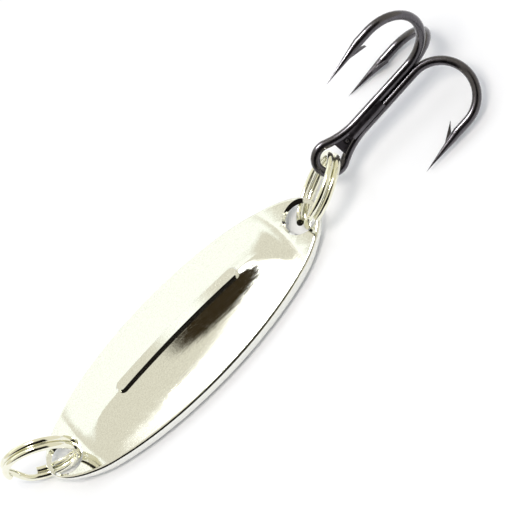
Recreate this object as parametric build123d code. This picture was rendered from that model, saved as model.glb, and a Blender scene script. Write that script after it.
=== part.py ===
from build123d import *
import math
import os

# A keel spoon lure. Millimetres. +X runs from the line end to the hook end, +Z is up.
# The origin is the centre of the spoon's flat underside.

# Spoon body, driving dimensions
BODY_LENGTH = 41.0
BODY_WIDTH = 14.8
RIM_HEIGHT = 0.9  # the upright edge all round
KEEL_HEIGHT = 2.1  # the crest above the rim
FLANK_SAG = 0.85  # how hollow each flank is: 0 is straight, 1 is level at the rim
SHEET_EXTRA = 0.20  # how much thicker the dished middle is than the rim
HIP_ANGLE = 22.0  # the crest runs down to the ends at this angle
HIP_START = 15.2  # the flat ends begin this far from the middle
NOSE_LIFT_ANGLE = 4.0  # the flat ends tip up a little
NOSE_RELIEF_ANGLE = 9.0  # and are thinned from below, to pass the rings
CREST_BLEND = 0.45  # softness of the crest and hips
FOOT_BLEND = 0.25  # softness where they meet the rim and the ends
RIM_ROUND = 0.35
HOLE_PITCH = 36.24
HOLE_DIAMETER = 3.5
HOLE_CHAMFER = 0.45

# Raised rib on the crest
RIB_WIDTH = 1.5
RIB_START = -9.0
RIB_END = 9.4
RIB_RISE = 0.42  # rib above the crest
RIB_CHAMFER = 0.15

# Split rings
RING_DIAMETER = 8.9
RING_WIRE = 0.74
COIL_GAP = 0.03
RING_JOG = 50.0  # degrees in which the wire steps from one coil to the other
RING_END_GAP = 3.0  # degrees between a cut end and the step

# Treble hook, measured along its shank from the middle of the eye
HOOK_WIRE = 1.05
WIRE_GAP = 0.03
EYE_RADIUS = 1.66  # to the middle of the wire
NECK_RADIUS = 9.0
BEND_CENTRE = 12.9
SPEAR_RADIUS = 8.5  # from the shank's axis to the middle of the spear
POINT_START = 11.3
POINT_END = 5.9
BARB_ROOT = 9.2
BARB_TIP = 11.7
BARB_HEIGHT = 0.85
BARB_THICKNESS = 0.36
SINGLE_START = 3.0
BRAZE_START = 3.3
BRAZE_END = 8.2
BRAZE_RADIUS = 0.96
WEB_START = 1.4  # braze also closes the neck, as near the eye's hole as the swinging ring allows
WEB_END = 4.2
WEB_THICKNESS = 0.8
DIMPLE_X = 2.6
DIMPLE_RADIUS = 0.35
HOOK_SPREAD = 60.0  # each front hook from straight above the eye's plane
UPPER_SPRING = 0.7  # the upper hook is sprung outwards by this much
UPPER_LEAN = -1.1  # and its tip leans this far sideways
POINT_LEAN = 0.42  # every point leans outwards

# Where the rings and the treble lie at rest
LINE_RING_NORMAL = Vector(-0.437, -0.876, -0.205).normalized()
LINE_RING_CENTRE = Vector(-19.95, -0.03, 3.95)
LINE_RING_TURN = 210.0  # where the cut ends lie round the ring, degrees
HOOK_RING_NORMAL = Vector(-0.386, 0.5736, 0.7225).normalized()
HOOK_RING_CENTRE = Vector(21.645, -0.525, 2.731)
HOOK_RING_TURN = 355.0
TREBLE_EYE = Vector(25.04, 0.7, 3.7)
TREBLE_ROLL = 58.0  # one hook nearly straight up, two on the ground
TREBLE_YAW = -0.85
TREBLE_TILT = 4.6

BLANK_HEIGHT = 6.0  # well above the spoon, before its top is taken off
HALF_LENGTH = BODY_LENGTH / 2
HALF_WIDTH = BODY_WIDTH / 2
WAIST_RADIUS = HALF_LENGTH**2 / HALF_WIDTH
WIRE_RADIUS = HOOK_WIRE / 2
BUNDLE_RADIUS = (HOOK_WIRE + WIRE_GAP) / math.sqrt(3)
WIRE_LEVEL = BUNDLE_RADIUS * math.cos(math.radians(HOOK_SPREAD))  # the front wires, above the axis
WIRE_SIDE = BUNDLE_RADIUS * math.sin(math.radians(HOOK_SPREAD))


def soft_positive(value):
    """The value where it is positive, easing to nothing where it isn't."""
    return (value + math.hypot(value, FOOT_BLEND)) / 2


def nose_lift(x):
    """How far the flat ends rise towards their tips."""
    return math.tan(math.radians(NOSE_LIFT_ANGLE)) * soft_positive(abs(x) - HIP_START)


def dish_height(x, y):
    """How far the keeled middle stands above the rim."""
    across = math.hypot(y, CREST_BLEND) - CREST_BLEND / 2
    inward = WAIST_RADIUS - math.hypot(x, across + WAIST_RADIUS - HALF_WIDTH)
    share = inward / HALF_WIDTH
    flank = KEEL_HEIGHT * share * (1 - FLANK_SAG * (1 - share))
    hip = math.tan(math.radians(HIP_ANGLE)) * (HIP_START - abs(x))
    lower = (flank + hip - math.hypot(flank - hip, CREST_BLEND)) / 2
    return soft_positive(lower)


def dished_surface(drop):
    """The spoon's upper skin, lowered by a drop, over a little more than the spoon."""
    columns = 57
    rows = 31
    beyond_ends = 1
    beyond_sides = 0.6
    points = []
    for i in range(columns):
        x = (2 * i / (columns - 1) - 1) * (HALF_LENGTH + beyond_ends)
        row = []
        for j in range(rows):
            y = (2 * j / (rows - 1) - 1) * (HALF_WIDTH + beyond_sides)
            row.append(Vector(x, y, RIM_HEIGHT + nose_lift(x) + dish_height(x, y) - drop))
        points.append(row)
    return Face.make_surface_from_array_of_points(points, tol=0.004, min_deg=3, max_deg=5)


def lower_half(solid, surface):
    """What lies under a surface that cuts right through a solid."""
    pieces = Compound(children=list(solid.split(surface, keep=Keep.ALL))).solids()
    return pieces.sort_by(Axis.Z)[0]


def nose_relief(x):
    """How far the thinned underside of an end stands off the ground."""
    return math.tan(math.radians(NOSE_RELIEF_ANGLE)) * max(0, abs(x) - HIP_START)


def ring_hole(x):
    """The hole for a split ring, with both its edges eased."""
    radius = HOLE_DIAMETER / 2
    depth = 1
    deck = RIM_HEIGHT + nose_lift(x)
    upper = Pos(x, 0, deck - HOLE_CHAMFER + depth / 2) * Cone(radius, radius + depth, depth)
    lower = Pos(x, 0, nose_relief(x) + HOLE_CHAMFER - depth / 2) * Cone(radius + depth, radius, depth)
    return Pos(x, 0, 0) * Cylinder(radius, BLANK_HEIGHT) + upper + lower


def relief_cutter(side):
    """The wedge taken off the underside of one end."""
    block = Pos(HALF_WIDTH, 0, -RIM_HEIGHT) * Box(BODY_WIDTH, BODY_WIDTH, 2 * RIM_HEIGHT)
    wedge = Pos(HIP_START, 0, 0) * Rot(0, -NOSE_RELIEF_ANGLE, 0) * block
    return wedge if side > 0 else mirror(wedge, Plane.YZ)


def rib():
    """The raised bar along the crest, which sinks with it towards both ends."""
    middle = (RIB_START + RIB_END) / 2
    half = (RIB_END - RIB_START) / 2
    top = RIM_HEIGHT + dish_height(middle, 0) + RIB_RISE
    sink = dish_height(middle, 0) - dish_height(RIB_END, 0)
    arch_radius = (half**2 + sink**2) / (2 * sink)
    outline = Pos(middle, 0, RIM_HEIGHT) * SlotOverall(2 * half, RIB_WIDTH)
    arch = Pos(middle, 0, top - arch_radius) * Rot(90, 0, 0) * Cylinder(arch_radius, 2 * RIB_WIDTH)
    bar = extrude(outline, top) & arch
    crown = [edge for edge in bar.edges() if edge.bounding_box().min.Z > RIM_HEIGHT + RIB_RISE]
    return bar.chamfer(RIB_CHAMFER, None, crown)


def spoon_body():
    """The stamped spoon: a flat rim and ends round a keeled middle, hollow underneath."""
    blank = extrude(Ellipse(HALF_LENGTH, HALF_WIDTH), BLANK_HEIGHT)
    skin = lower_half(blank, dished_surface(0))
    upper_rim = [edge for edge in skin.edges() if edge.bounding_box().min.Z > RIM_HEIGHT / 2]
    skin = skin.fillet(RIM_ROUND, upper_rim)
    block = Box(BODY_LENGTH + 1, BODY_WIDTH + 1, 2 * BLANK_HEIGHT)
    hollow = lower_half(block, dished_surface(RIM_HEIGHT + SHEET_EXTRA))
    shape = skin + rib() - hollow
    for side in (-1, 1):
        shape -= ring_hole(side * HOLE_PITCH / 2)
        shape -= relief_cutter(side)
    return shape


def split_ring(normal, centre, turn):
    """Wire wound nearly twice round, stepping from one coil to the other beside its cut ends."""
    radius = (RING_DIAMETER - RING_WIRE) / 2
    step = (RING_WIRE + COIL_GAP) / 2
    half_jog = math.radians(RING_JOG) / 2
    half_open = half_jog + math.radians(RING_END_GAP)

    def at(angle, height):
        return Vector(radius * math.cos(angle), radius * math.sin(angle), height)

    def along(angle):
        return Vector(-math.sin(angle), math.cos(angle), 0)

    lower = ThreePointArc(at(half_open, -step), at(math.pi, -step), at(-half_jog, -step))
    jog = Spline(
        at(-half_jog, -step),
        at(0, 0),
        at(half_jog, step),
        tangents=[along(-half_jog), along(half_jog)],
    )
    upper = ThreePointArc(at(half_jog, step), at(math.pi, step), at(-half_open, step))
    path = Wire([lower.edge(), jog.edge(), upper.edge()])
    section = Plane(origin=path @ 0, z_dir=path % 0) * Circle(RING_WIRE / 2)
    coil = sweep(section, path=path)
    across = Vector(0, 0, 1).cross(normal).normalized()
    place = Plane(origin=centre, x_dir=across, z_dir=normal)
    return place.location * Rot(0, 0, turn) * coil


def radial(azimuth, reach, x, side=0):
    """A point beside the shank, its azimuth counted from straight above the eye's plane."""
    angle = math.radians(azimuth)
    outward = Vector(0, math.sin(angle), math.cos(angle))
    sideways = Vector(0, math.cos(angle), -math.sin(angle))
    return Vector(x, 0, 0) + outward * reach + sideways * side


def spear_radius(azimuth):
    """From the shank's axis to the middle of one spear."""
    return SPEAR_RADIUS + (UPPER_SPRING if azimuth == HOOK_SPREAD else 0)


def side_lean(azimuth, x):
    """How far the point of one hook has gone sideways at x."""
    full = UPPER_LEAN if azimuth == HOOK_SPREAD else 0
    return full * (POINT_START - x) / (POINT_START - POINT_END)


def hook_path(azimuth, start):
    """Shank, round bend and spear of one hook, up to where its point begins."""
    reach = spear_radius(azimuth)
    bend_radius = (reach - BUNDLE_RADIUS) / 2
    shank_end = radial(azimuth, BUNDLE_RADIUS, BEND_CENTRE)
    crown = radial(azimuth, BUNDLE_RADIUS + bend_radius, BEND_CENTRE + bend_radius)
    spear_start = radial(azimuth, reach, BEND_CENTRE)
    return [
        Edge.make_line(radial(azimuth, BUNDLE_RADIUS, start), shank_end),
        Edge.make_three_point_arc(shank_end, crown, spear_start),
        Edge.make_line(spear_start, radial(azimuth, reach, POINT_START)),
    ]


def wire_along(edges):
    """Round hook wire along a run of edges."""
    path = Wire(edges)
    section = Plane(origin=path @ 0, z_dir=path % 0) * Circle(WIRE_RADIUS)
    return sweep(section, path=path)


def point(azimuth):
    """The long taper of one hook, whose tip leans outwards."""
    reach = spear_radius(azimuth)
    base = Plane(origin=radial(azimuth, reach, POINT_START), z_dir=(-1, 0, 0))
    tip = radial(azimuth, reach + POINT_LEAN, POINT_END, side_lean(azimuth, POINT_END))
    return loft([base * Circle(WIRE_RADIUS), Vertex(*tip)])


def barb(azimuth):
    """The sliver raised off the inner side of one spear, pointing back to the bend."""
    reach = spear_radius(azimuth)
    inner = reach - WIRE_RADIUS
    corners = [
        (reach, BARB_ROOT),
        (inner - BARB_HEIGHT, BARB_TIP),
        (inner, BARB_TIP - BARB_HEIGHT),
        (reach, BARB_TIP - 2 * BARB_HEIGHT),
    ]
    outline = [radial(azimuth, out, x, side_lean(azimuth, x)) for out, x in corners]
    sliver = make_face(Polyline(*outline, close=True))
    return extrude(sliver, BARB_THICKNESS / 2, both=True)


def eye_path():
    """The eye and the neck on each side of it, flat in one plane."""
    neck_y = WIRE_SIDE + NECK_RADIUS
    neck_x = math.sqrt((EYE_RADIUS + NECK_RADIUS) ** 2 - neck_y**2)
    outward = Vector(neck_x, neck_y, 0).normalized()
    bisector = (Vector(0, -1, 0) - outward).normalized()
    meet = outward * EYE_RADIUS
    middle = Vector(neck_x, neck_y, 0) + bisector * NECK_RADIUS
    up = Vector(0, 0, WIRE_LEVEL)

    def mirrored(point):
        return Vector(point.X, -point.Y, point.Z)

    start = Vector(neck_x, WIRE_SIDE, 0)
    return neck_x, [
        Edge.make_three_point_arc(mirrored(start) + up, mirrored(middle) + up, mirrored(meet) + up),
        Edge.make_three_point_arc(mirrored(meet) + up, Vector(-EYE_RADIUS, 0, 0) + up, meet + up),
        Edge.make_three_point_arc(meet + up, middle + up, start + up),
    ]


def double_hook_wire():
    """One wire bent into the eye, with a hook at each end."""
    neck_x, eye = eye_path()
    left = hook_path(-HOOK_SPREAD, neck_x)[::-1]
    right = hook_path(HOOK_SPREAD, neck_x)
    wire = wire_along(left + eye + right)
    for azimuth in (-HOOK_SPREAD, HOOK_SPREAD):
        wire = wire + point(azimuth) + barb(azimuth)
    return wire


def single_hook_wire():
    """The third hook, lying in the groove behind the other two."""
    wire = wire_along(hook_path(180, SINGLE_START))
    return wire + point(180) + barb(180)


def neck_web():
    """The braze that closes the neck beyond the eye's hole, with a dimple where it shrank."""
    near = EYE_RADIUS * math.sin(math.acos(WEB_START / EYE_RADIUS))
    outline = [(WEB_START, -near), (WEB_END, -WIRE_SIDE), (WEB_END, WIRE_SIDE), (WEB_START, near)]
    web = extrude(make_face(Polyline(*outline, close=True)), WEB_THICKNESS / 2, both=True)
    return Pos(0, 0, WIRE_LEVEL) * (web - Pos(DIMPLE_X, 0, WEB_THICKNESS / 2) * Sphere(DIMPLE_RADIUS))


def braze(wires):
    """The metal that fills the neck and the grooves between the three shanks."""
    length = BRAZE_END - BRAZE_START
    filler = Pos(BRAZE_START + length / 2, 0, 0) * Rot(0, 90, 0) * Cylinder(BRAZE_RADIUS, length)
    return filler + neck_web() - wires


def treble_place():
    """From the treble's own frame to where it lies."""
    return Pos(*TREBLE_EYE) * Rot(0, -TREBLE_TILT, TREBLE_YAW) * Rot(TREBLE_ROLL, 0, 0)


def write(name, shape):
    solids = Compound(children=list(shape.solids()))
    solids.label = name
    export_step(solids, f"parts/{name}.step")
    print(name, round(shape.volume, 2), "mm3")


os.makedirs("parts", exist_ok=True)
double_wire = double_hook_wire()
single_wire = single_hook_wire()
joint = braze([double_wire, single_wire])
write("spoon_body", spoon_body())
write("line_split_ring", split_ring(LINE_RING_NORMAL, LINE_RING_CENTRE, LINE_RING_TURN))
write("hook_split_ring", split_ring(HOOK_RING_NORMAL, HOOK_RING_CENTRE, HOOK_RING_TURN))
write("treble_double_wire", treble_place() * double_wire)
write("treble_single_wire", treble_place() * single_wire)
write("treble_braze", treble_place() * joint)
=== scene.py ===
import math

import bpy
from mathutils import Matrix, Vector


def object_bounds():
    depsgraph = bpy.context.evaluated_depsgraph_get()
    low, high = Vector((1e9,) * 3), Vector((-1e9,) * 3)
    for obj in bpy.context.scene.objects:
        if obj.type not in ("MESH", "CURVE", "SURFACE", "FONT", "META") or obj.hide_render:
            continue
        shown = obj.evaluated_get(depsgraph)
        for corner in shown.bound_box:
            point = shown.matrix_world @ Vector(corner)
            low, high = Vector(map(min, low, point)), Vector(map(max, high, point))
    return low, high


# The looks of a keel spoon lure: its platings, the studio round it and the camera. Metres.

MM = 0.001

# Camera: a long lens over the spoon's near side, turned so that the hook points up and right
CAMERA_LEAN = math.radians(38.5)  # from straight above towards -Y
CAMERA_ROLL = math.radians(45.7)
CAMERA_DISTANCE = 600 * MM
VIEW_WIDTH = 55.4 * MM  # what the frame spans at the spoon
AIM_ALONG = 11.86 * MM  # from the spoon's middle towards the hook
AIM_ACROSS = -0.40 * MM
AIM_HEIGHT = 1.15 * MM
SENSOR_WIDTH = 36.0  # Blender's own, in its millimetres
CLIP_START = 10 * MM

FLOOR_SIZE = 2.0

# Colours of the studio
TENT_LIGHT = (0.735, 0.755, 0.785)  # the tent as it lights the floor
TENT_PALE = (1.15, 1.18, 1.08)  # the far side of the tent, as the plating reflects it
TENT_TAN = (0.80, 0.77, 0.64)  # its roof and near side
SOFTBOX_WHITE = (1.7, 1.7, 1.6)
TUBE_WHITE = (9.0, 9.0, 8.8)  # the lamp inside the softbox
ROOM_BLACK = (0.012, 0.010, 0.008)  # the dark room past the tent's open front
GAP_BROWN = (0.035, 0.024, 0.010)  # a gap between the softbox and the roof

# Where they lie, in degrees of lean from straight above towards the hook or towards the back
FAR_SIDE_START = 42
FAR_SIDE_BLUR = 3
FAR_SIDE_ENDS = (-60, 28)
FAR_SIDE_ENDS_BLUR = 4
ROOM_DEPTH = (-88, -19)
ROOM_DEPTH_BLUR = 1.5
ROOM_HOOK_END = 38
ROOM_HOOK_END_BLUR = 3
SOFTBOX = dict(lean_to_hook=7, lean_to_back=19, turn=105, half_length=17, half_width=10, blur=0.25)
TUBE = dict(lean_to_hook=7, lean_to_back=20, turn=105, half_length=13, half_width=7.5, blur=0.15)
GAP = dict(lean_to_hook=6.5, lean_to_back=-1.5, turn=36, half_length=11, half_width=5, blur=0.12)
RIB_GLEAM = dict(lean_to_hook=0, lean_to_back=39, turn=0, half_length=3.5, half_width=3, blur=0.4)

# Lamps: the key throws the shadows, and the streak only shows in the platings
KEY_FROM = (-0.10, -0.30, 0.95)  # the way to the lamp
KEY_DISTANCE = 500 * MM
KEY_SIZE = 170 * MM
KEY_POWER = 1.05
KEY_COLOUR = (1.0, 0.95, 0.87)
STREAK_PLACE = (9 * MM, 60 * MM, 158 * MM)
STREAK_WIDTH = 36 * MM
STREAK_LENGTH = 50 * MM
STREAK_POWER = 0.27
STREAK_COLOUR = (1.0, 1.0, 1.0)

# Sockets of a Mix node that mixes colours
MIX_FIRST = 6
MIX_SECOND = 7
MIX_RESULT = 2

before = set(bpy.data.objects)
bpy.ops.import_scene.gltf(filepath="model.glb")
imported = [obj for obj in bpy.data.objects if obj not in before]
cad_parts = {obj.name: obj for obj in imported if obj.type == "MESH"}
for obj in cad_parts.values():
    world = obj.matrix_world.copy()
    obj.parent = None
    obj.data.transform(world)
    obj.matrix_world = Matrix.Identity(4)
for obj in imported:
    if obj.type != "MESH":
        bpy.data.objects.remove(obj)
cad_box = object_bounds()


def new_material(name):
    """A node material with only its output and one shader."""
    material = bpy.data.materials.new(name)
    material.use_nodes = True
    tree = material.node_tree
    return material, tree, tree.nodes["Principled BSDF"]


def add(tree, kind, **settings):
    """A node with some of its settings and inputs filled in."""
    node = tree.nodes.new(kind)
    for key, value in settings.items():
        if hasattr(node, key):
            setattr(node, key, value)
        else:
            node.inputs[key.replace("_", " ")].default_value = value
    return node


def noise(tree, scale, detail=3.0, stretch=(1, 1, 1)):
    """Noise in the object's own space, scale in features per metre, stretched along an axis."""
    place = add(tree, "ShaderNodeTexCoord")
    mapping = add(tree, "ShaderNodeMapping")
    mapping.inputs["Scale"].default_value = stretch
    texture = add(tree, "ShaderNodeTexNoise", Scale=scale, Detail=detail)
    tree.links.new(place.outputs["Object"], mapping.inputs["Vector"])
    tree.links.new(mapping.outputs["Vector"], texture.inputs["Vector"])
    return texture.outputs["Fac"]


def ramp(tree, value, stops):
    """A colour ramp over a value; each stop is (place, colour)."""
    node = add(tree, "ShaderNodeValToRGB")
    elements = node.color_ramp.elements
    while len(elements) < len(stops):
        elements.new(0.5)
    for element, (place, colour) in zip(elements, stops):
        element.position = place
        element.color = (*colour, 1)
    tree.links.new(value, node.inputs["Fac"])
    return node.outputs["Color"]


def span(tree, value, low, high, at_low=0.35, at_high=0.65):
    """Remaps a noise value to run from low to high."""
    node = add(tree, "ShaderNodeMapRange")
    node.inputs["From Min"].default_value = at_low
    node.inputs["From Max"].default_value = at_high
    node.inputs["To Min"].default_value = low
    node.inputs["To Max"].default_value = high
    tree.links.new(value, node.inputs["Value"])
    return node.outputs["Result"]


def bump(tree, height, distance, under=None):
    """A bump from a height, over another bump if one is given."""
    node = add(tree, "ShaderNodeBump", Distance=distance)
    tree.links.new(height, node.inputs["Height"])
    if under:
        tree.links.new(under, node.inputs["Normal"])
    return node.outputs["Normal"]


def silver_plate():
    """Polished plating on the stamped body, with fine pits and hairline scratches."""
    material, tree, shader = new_material("silver_plate")
    shader.inputs["Metallic"].default_value = 1.0
    grain = noise(tree, scale=8000, detail=2)
    tint = ramp(tree, grain, [(0.35, (0.81, 0.81, 0.76)), (0.65, (0.92, 0.93, 0.89))])
    tree.links.new(tint, shader.inputs["Base Color"])
    wear = span(tree, noise(tree, scale=2600, detail=4), low=0.035, high=0.075)
    tree.links.new(wear, shader.inputs["Roughness"])
    pits = bump(tree, noise(tree, scale=9000, detail=2), distance=0.002 * MM)
    hairlines = noise(tree, scale=4500, stretch=(0.08, 1, 1))
    scratches = bump(tree, hairlines, distance=0.003 * MM, under=pits)
    tree.links.new(scratches, shader.inputs["Normal"])
    return material


def ring_plate():
    """Bright plated wire, a little warm, with drawing marks."""
    material, tree, shader = new_material("ring_plate")
    shader.inputs["Metallic"].default_value = 1.0
    blotches = noise(tree, scale=500, detail=2)
    tint = ramp(tree, blotches, [(0.3, (0.86, 0.85, 0.68)), (0.7, (0.92, 0.91, 0.80))])
    tree.links.new(tint, shader.inputs["Base Color"])
    wear = span(tree, noise(tree, scale=1500), low=0.05, high=0.12)
    tree.links.new(wear, shader.inputs["Roughness"])
    marks = bump(tree, noise(tree, scale=3000), distance=0.004 * MM)
    tree.links.new(marks, shader.inputs["Normal"])
    return material


def black_nickel(name, low, high):
    """Dark glossy plating, mottled brown and purple, its roughness from low to high."""
    material, tree, shader = new_material(name)
    shader.inputs["Metallic"].default_value = 1.0
    mottle = noise(tree, scale=420)
    tint = ramp(tree, mottle, [(0.35, (0.042, 0.037, 0.044)), (0.65, (0.080, 0.072, 0.084))])
    tree.links.new(tint, shader.inputs["Base Color"])
    tree.links.new(span(tree, noise(tree, scale=1300), low, high), shader.inputs["Roughness"])
    grit = bump(tree, noise(tree, scale=2600), distance=0.006 * MM)
    tree.links.new(grit, shader.inputs["Normal"])
    shader.inputs["Coat Weight"].default_value = 0.7
    shader.inputs["Coat IOR"].default_value = 1.7
    shader.inputs["Coat Roughness"].default_value = 0.15
    return material


def dress(material, *nodes):
    """Gives CAD nodes a material."""
    for name in nodes:
        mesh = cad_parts[name].data
        mesh.materials.clear()
        mesh.materials.append(material)


def make_floor():
    """The white sheet that the lure lies on."""
    low = cad_box[0][2]
    bpy.ops.mesh.primitive_plane_add(size=FLOOR_SIZE, location=(0, 0, low))
    floor = bpy.context.object
    floor.name = "floor"
    material, tree, shader = new_material("white_sheet")
    clouds = noise(tree, scale=60, detail=2)
    tint = ramp(tree, clouds, [(0.4, (0.92, 0.92, 0.93)), (0.6, (0.94, 0.94, 0.95))])
    tree.links.new(tint, shader.inputs["Base Color"])
    shader.inputs["Roughness"].default_value = 0.7
    floor.data.materials.append(material)


def along_axis(tree, direction, axis):
    """How far a direction points along an axis."""
    dot = add(tree, "ShaderNodeVectorMath", operation="DOT_PRODUCT")
    dot.inputs[1].default_value = axis
    tree.links.new(direction, dot.inputs[0])
    return dot.outputs["Value"]


def step(tree, value, start, end):
    """Eases from 0 at the start to 1 at the end."""
    node = add(tree, "ShaderNodeMapRange", interpolation_type="SMOOTHSTEP")
    node.inputs["From Min"].default_value = start
    node.inputs["From Max"].default_value = end
    tree.links.new(value, node.inputs["Value"])
    return node.outputs["Result"]


def tilt_edge(tree, direction, axis, angle, blur):
    """Runs from 0 to 1 across the plane that leans by an angle from straight up towards an axis."""
    lean = math.radians(angle)
    normal = Vector(axis) * math.cos(lean) - Vector((0, 0, math.sin(lean)))
    soft = math.sin(math.radians(blur))
    return step(tree, along_axis(tree, direction, normal), -soft, soft)


def between(tree, direction, axis, low, high, blur):
    """Is 1 where the sky leans towards an axis by more than one angle and less than another."""
    first = tilt_edge(tree, direction, axis, low, blur)
    second = tilt_edge(tree, direction, axis, high, blur)
    return combine(tree, "SUBTRACT", first, second)


def patch(tree, direction, lean_to_hook, lean_to_back, turn, half_length, half_width, blur):
    """Is 1 inside an oval of the sky, its long way turned from the hook's side to the back."""
    lean = (math.tan(math.radians(lean_to_hook)), math.tan(math.radians(lean_to_back)), 1)
    middle = Vector(lean).normalized()
    way = Vector((math.cos(math.radians(turn)), math.sin(math.radians(turn)), 0))
    long_way = (way - middle * way.dot(middle)).normalized()
    wide_way = middle.cross(long_way)
    place = add(tree, "ShaderNodeCombineXYZ")
    length = along_axis(tree, direction, long_way / math.sin(math.radians(half_length)))
    width = along_axis(tree, direction, wide_way / math.sin(math.radians(half_width)))
    tree.links.new(length, place.inputs["X"])
    tree.links.new(width, place.inputs["Y"])
    distance = add(tree, "ShaderNodeVectorMath", operation="LENGTH")
    tree.links.new(place.outputs["Vector"], distance.inputs[0])
    return step(tree, distance.outputs["Value"], 1 + blur, 1 - blur)


def combine(tree, operation, first, second):
    """Two values put together by a maths operation."""
    node = add(tree, "ShaderNodeMath", operation=operation)
    for value, socket in zip((first, second), node.inputs):
        if isinstance(value, (int, float)):
            socket.default_value = value
        else:
            tree.links.new(value, socket)
    return node.outputs["Value"]


def blend_colour(tree, share, first, second):
    """Goes from the first colour to the second as the share goes from 0 to 1."""
    node = add(tree, "ShaderNodeMix", data_type="RGBA")
    tree.links.new(share, node.inputs["Factor"])
    sockets = (node.inputs[MIX_FIRST], node.inputs[MIX_SECOND])
    for colour, socket in zip((first, second), sockets):
        if isinstance(colour, tuple):
            socket.default_value = (*colour, 1)
        else:
            tree.links.new(colour, socket)
    return node.outputs[MIX_RESULT]


def make_world():
    """A white tent, which the plating shows with its softbox, its gap and the dark room in front."""
    world = bpy.data.worlds.new("tent")
    bpy.context.scene.world = world
    world.use_nodes = True
    tree = world.node_tree
    background = tree.nodes["Background"]
    background.inputs["Strength"].default_value = 1.0
    direction = add(tree, "ShaderNodeTexCoord").outputs["Generated"]
    to_hook = (1, 0, 0)
    to_back = (0, 1, 0)
    far = tilt_edge(tree, direction, to_back, FAR_SIDE_START, FAR_SIDE_BLUR)
    middle = between(tree, direction, to_hook, *FAR_SIDE_ENDS, FAR_SIDE_ENDS_BLUR)
    sky = blend_colour(tree, combine(tree, "MULTIPLY", far, middle), TENT_TAN, TENT_PALE)
    sky = blend_colour(tree, patch(tree, direction, **RIB_GLEAM), sky, TENT_PALE)
    sky = blend_colour(tree, patch(tree, direction, **SOFTBOX), sky, SOFTBOX_WHITE)
    sky = blend_colour(tree, patch(tree, direction, **TUBE), sky, TUBE_WHITE)
    sky = blend_colour(tree, patch(tree, direction, **GAP), sky, GAP_BROWN)
    near = between(tree, direction, to_back, *ROOM_DEPTH, ROOM_DEPTH_BLUR)
    past_room = tilt_edge(tree, direction, to_hook, ROOM_HOOK_END, ROOM_HOOK_END_BLUR)
    along_room = combine(tree, "SUBTRACT", 1.0, past_room)
    sky = blend_colour(tree, combine(tree, "MULTIPLY", near, along_room), sky, ROOM_BLACK)
    path = add(tree, "ShaderNodeLightPath")
    seen = blend_colour(tree, path.outputs["Is Glossy Ray"], TENT_LIGHT, sky)
    tree.links.new(seen, background.inputs["Color"])


def make_lamp(name, place, width, length, power, colour):
    """A soft lamp that faces the spoon, its width along the spoon."""
    data = bpy.data.lights.new(name, "AREA")
    data.shape = "RECTANGLE"
    data.size = width
    data.size_y = length
    data.energy = power
    data.color = colour
    lamp = bpy.data.objects.new(name, data)
    lamp.location = place
    lamp.rotation_euler = (-Vector(place)).to_track_quat("-Z", "Y").to_euler()
    bpy.context.scene.collection.objects.link(lamp)
    return lamp


def make_camera():
    """A long lens, so that the picture is nearly without perspective."""
    back = Vector((0, -math.sin(CAMERA_LEAN), math.cos(CAMERA_LEAN)))
    along = Vector((1, 0, 0))
    down = along.cross(back)
    right = along * math.cos(CAMERA_ROLL) + down * math.sin(CAMERA_ROLL)
    up = along * math.sin(CAMERA_ROLL) - down * math.cos(CAMERA_ROLL)
    target = Vector((AIM_ALONG, 0, AIM_HEIGHT)) + down * AIM_ACROSS
    data = bpy.data.cameras.new("camera")
    data.sensor_width = SENSOR_WIDTH
    data.lens = SENSOR_WIDTH * CAMERA_DISTANCE / VIEW_WIDTH
    data.clip_start = CLIP_START
    camera = bpy.data.objects.new("camera", data)
    turn = Matrix((right, up, back)).transposed().to_4x4()
    camera.matrix_world = Matrix.Translation(target + back * CAMERA_DISTANCE) @ turn
    bpy.context.scene.collection.objects.link(camera)
    bpy.context.scene.camera = camera


dress(silver_plate(), "spoon_body")
dress(ring_plate(), "line_split_ring", "hook_split_ring")
dress(black_nickel("black_nickel", 0.22, 0.34), "treble_double_wire", "treble_single_wire")
dress(black_nickel("nickel_braze", 0.25, 0.45), "treble_braze")

make_floor()
make_world()
key_place = Vector(KEY_FROM).normalized() * KEY_DISTANCE
key = make_lamp("key", key_place, KEY_SIZE, KEY_SIZE, KEY_POWER, KEY_COLOUR)
key.visible_glossy = False
streak = make_lamp(
    "streak", STREAK_PLACE, STREAK_WIDTH, STREAK_LENGTH, STREAK_POWER, STREAK_COLOUR
)
streak.visible_diffuse = False
make_camera()
bpy.context.scene.view_settings.view_transform = "Standard"
